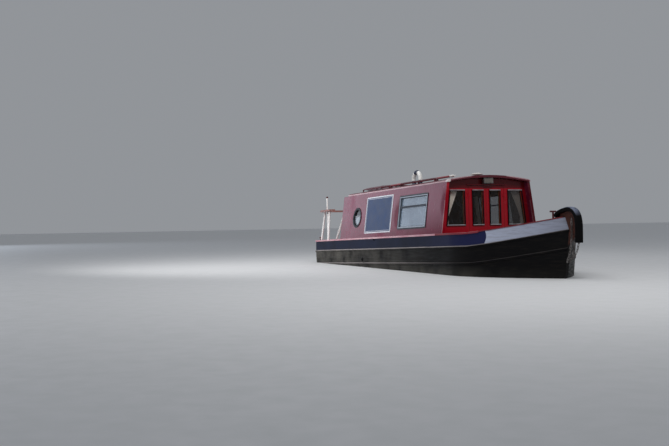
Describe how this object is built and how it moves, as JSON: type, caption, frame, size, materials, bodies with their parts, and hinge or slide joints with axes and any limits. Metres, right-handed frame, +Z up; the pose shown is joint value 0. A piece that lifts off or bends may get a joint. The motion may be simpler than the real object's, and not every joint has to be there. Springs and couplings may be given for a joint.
{
  "type": "narrowboat",
  "caption": "Short steel canal day boat with a glazed cabin, a well deck forward and a railed cruiser deck aft, tiller steered.",
  "frame": {"origin": "On the centreline at the mean waterline, half-way along the hull.", "axes": "+X towards the bow, +Y to port, +Z up. The boat is modelled level; the pictured one floats about 2 degrees down by the stern."},
  "size_m": [7.9943, 2.08, 2.4313],
  "materials": {
    "black_hull_paint": "satin, scuffed",
    "maroon_paint": "gloss",
    "red_paint": "gloss",
    "white_paint": "gloss",
    "rusty_steel": "matt, worn",
    "black_rubber": "matt",
    "deck_plate": "satin",
    "bronze": "satin",
    "engine_paint": "satin",
    "plywood": "satin",
    "turned_wood": "varnished",
    "window_frame_black": "satin",
    "lamp_chrome": "polished",
    "buoy_plastic": "gloss",
    "clear_glass": "clear"
  },
  "bodies": {
    "boat": {"hull_side_starboard": "black_hull_paint", "hull_side_port": "black_hull_paint", "gunwale_starboard": "red_paint", "gunwale_port": "red_paint", "base_plate": "black_hull_paint", "swim": "black_hull_paint", "skeg": "black_hull_paint", "stem_post": "rusty_steel", "fore_deck": "red_paint", "well_deck": "red_paint", "stern_deck": "red_paint", "engine": "engine_paint", "cabin_floor": "plywood", "cabin_side_starboard": "maroon_paint", "cabin_side_port": "maroon_paint", "window_frame_starboard": "window_frame_black", "window_frame_port": "window_frame_black", "window_glass_starboard": "clear_glass", "window_glass_port": "clear_glass", "porthole_frame_starboard": "window_frame_black", "porthole_frame_port": "window_frame_black", "porthole_glass_starboard": "clear_glass", "porthole_glass_port": "clear_glass", "roof": "maroon_paint", "roof_vent": "white_paint", "boathook": "red_paint", "lifebuoy": "buoy_plastic", "front_bulkhead": "red_paint", "front_glass_starboard": "clear_glass", "front_glass_port": "clear_glass", "rear_bulkhead": "red_paint", "headlamp": "lamp_chrome", "stern_rail_starboard": "white_paint", "stern_rail_port": "white_paint", "bow_fender": "black_rubber"},
    "propeller": {"propeller": "bronze"},
    "rudder": {"rudder": "black_hull_paint", "tiller": "white_paint", "tiller_grip": "turned_wood"},
    "front_door_starboard": {"front_door_starboard": "red_paint", "door_glass_starboard": "clear_glass"},
    "front_door_port": {"front_door_port": "red_paint", "door_glass_port": "clear_glass"},
    "rear_door_starboard": {"rear_door_starboard": "red_paint"},
    "rear_door_port": {"rear_door_port": "red_paint"},
    "sliding_hatch": {"sliding_hatch": "red_paint"},
    "engine_hatch": {"engine_hatch": "deck_plate"},
    "locker_lid": {"locker_lid": "red_paint"}
  },
  "joints": [
    {"name": "propeller_spin", "type": "hinge", "parent": "boat", "child": "propeller", "pos_m": [-3.31, 0, -0.215], "axis": [1, 0, 0], "continuous": true},
    {"name": "rudder_steer", "type": "hinge", "parent": "boat", "child": "rudder", "pos_m": [-3.59, 0, 0], "axis": [0, 0, 1], "range_deg": [-35, 35]},
    {"name": "front_door_starboard_swing", "type": "hinge", "parent": "boat", "child": "front_door_starboard", "pos_m": [1.5385, -0.345, 0.8], "axis": [0, 0, -1], "range_deg": [0, 100]},
    {"name": "front_door_port_swing", "type": "hinge", "parent": "boat", "child": "front_door_port", "pos_m": [1.5385, 0.345, 0.8], "axis": [0, 0, 1], "range_deg": [0, 100]},
    {"name": "rear_door_starboard_swing", "type": "hinge", "parent": "boat", "child": "rear_door_starboard", "pos_m": [-2.4535, -0.325, 1.1], "axis": [0, 0, 1], "range_deg": [0, 95]},
    {"name": "rear_door_port_swing", "type": "hinge", "parent": "boat", "child": "rear_door_port", "pos_m": [-2.4535, 0.325, 1.1], "axis": [0, 0, -1], "range_deg": [0, 95]},
    {"name": "sliding_hatch_slide", "type": "slide", "parent": "boat", "child": "sliding_hatch", "axis": [1, 0, 0], "range_m": [0, 0.58]},
    {"name": "engine_hatch_lift", "type": "hinge", "parent": "boat", "child": "engine_hatch", "pos_m": [-3.14, 0, 0.6065], "axis": [0, -1, 0], "range_deg": [0, 85]},
    {"name": "locker_lid_lift", "type": "hinge", "parent": "boat", "child": "locker_lid", "pos_m": [3.215, 0, 0.69], "axis": [0, 1, 0], "range_deg": [0, 80]}
  ]
}
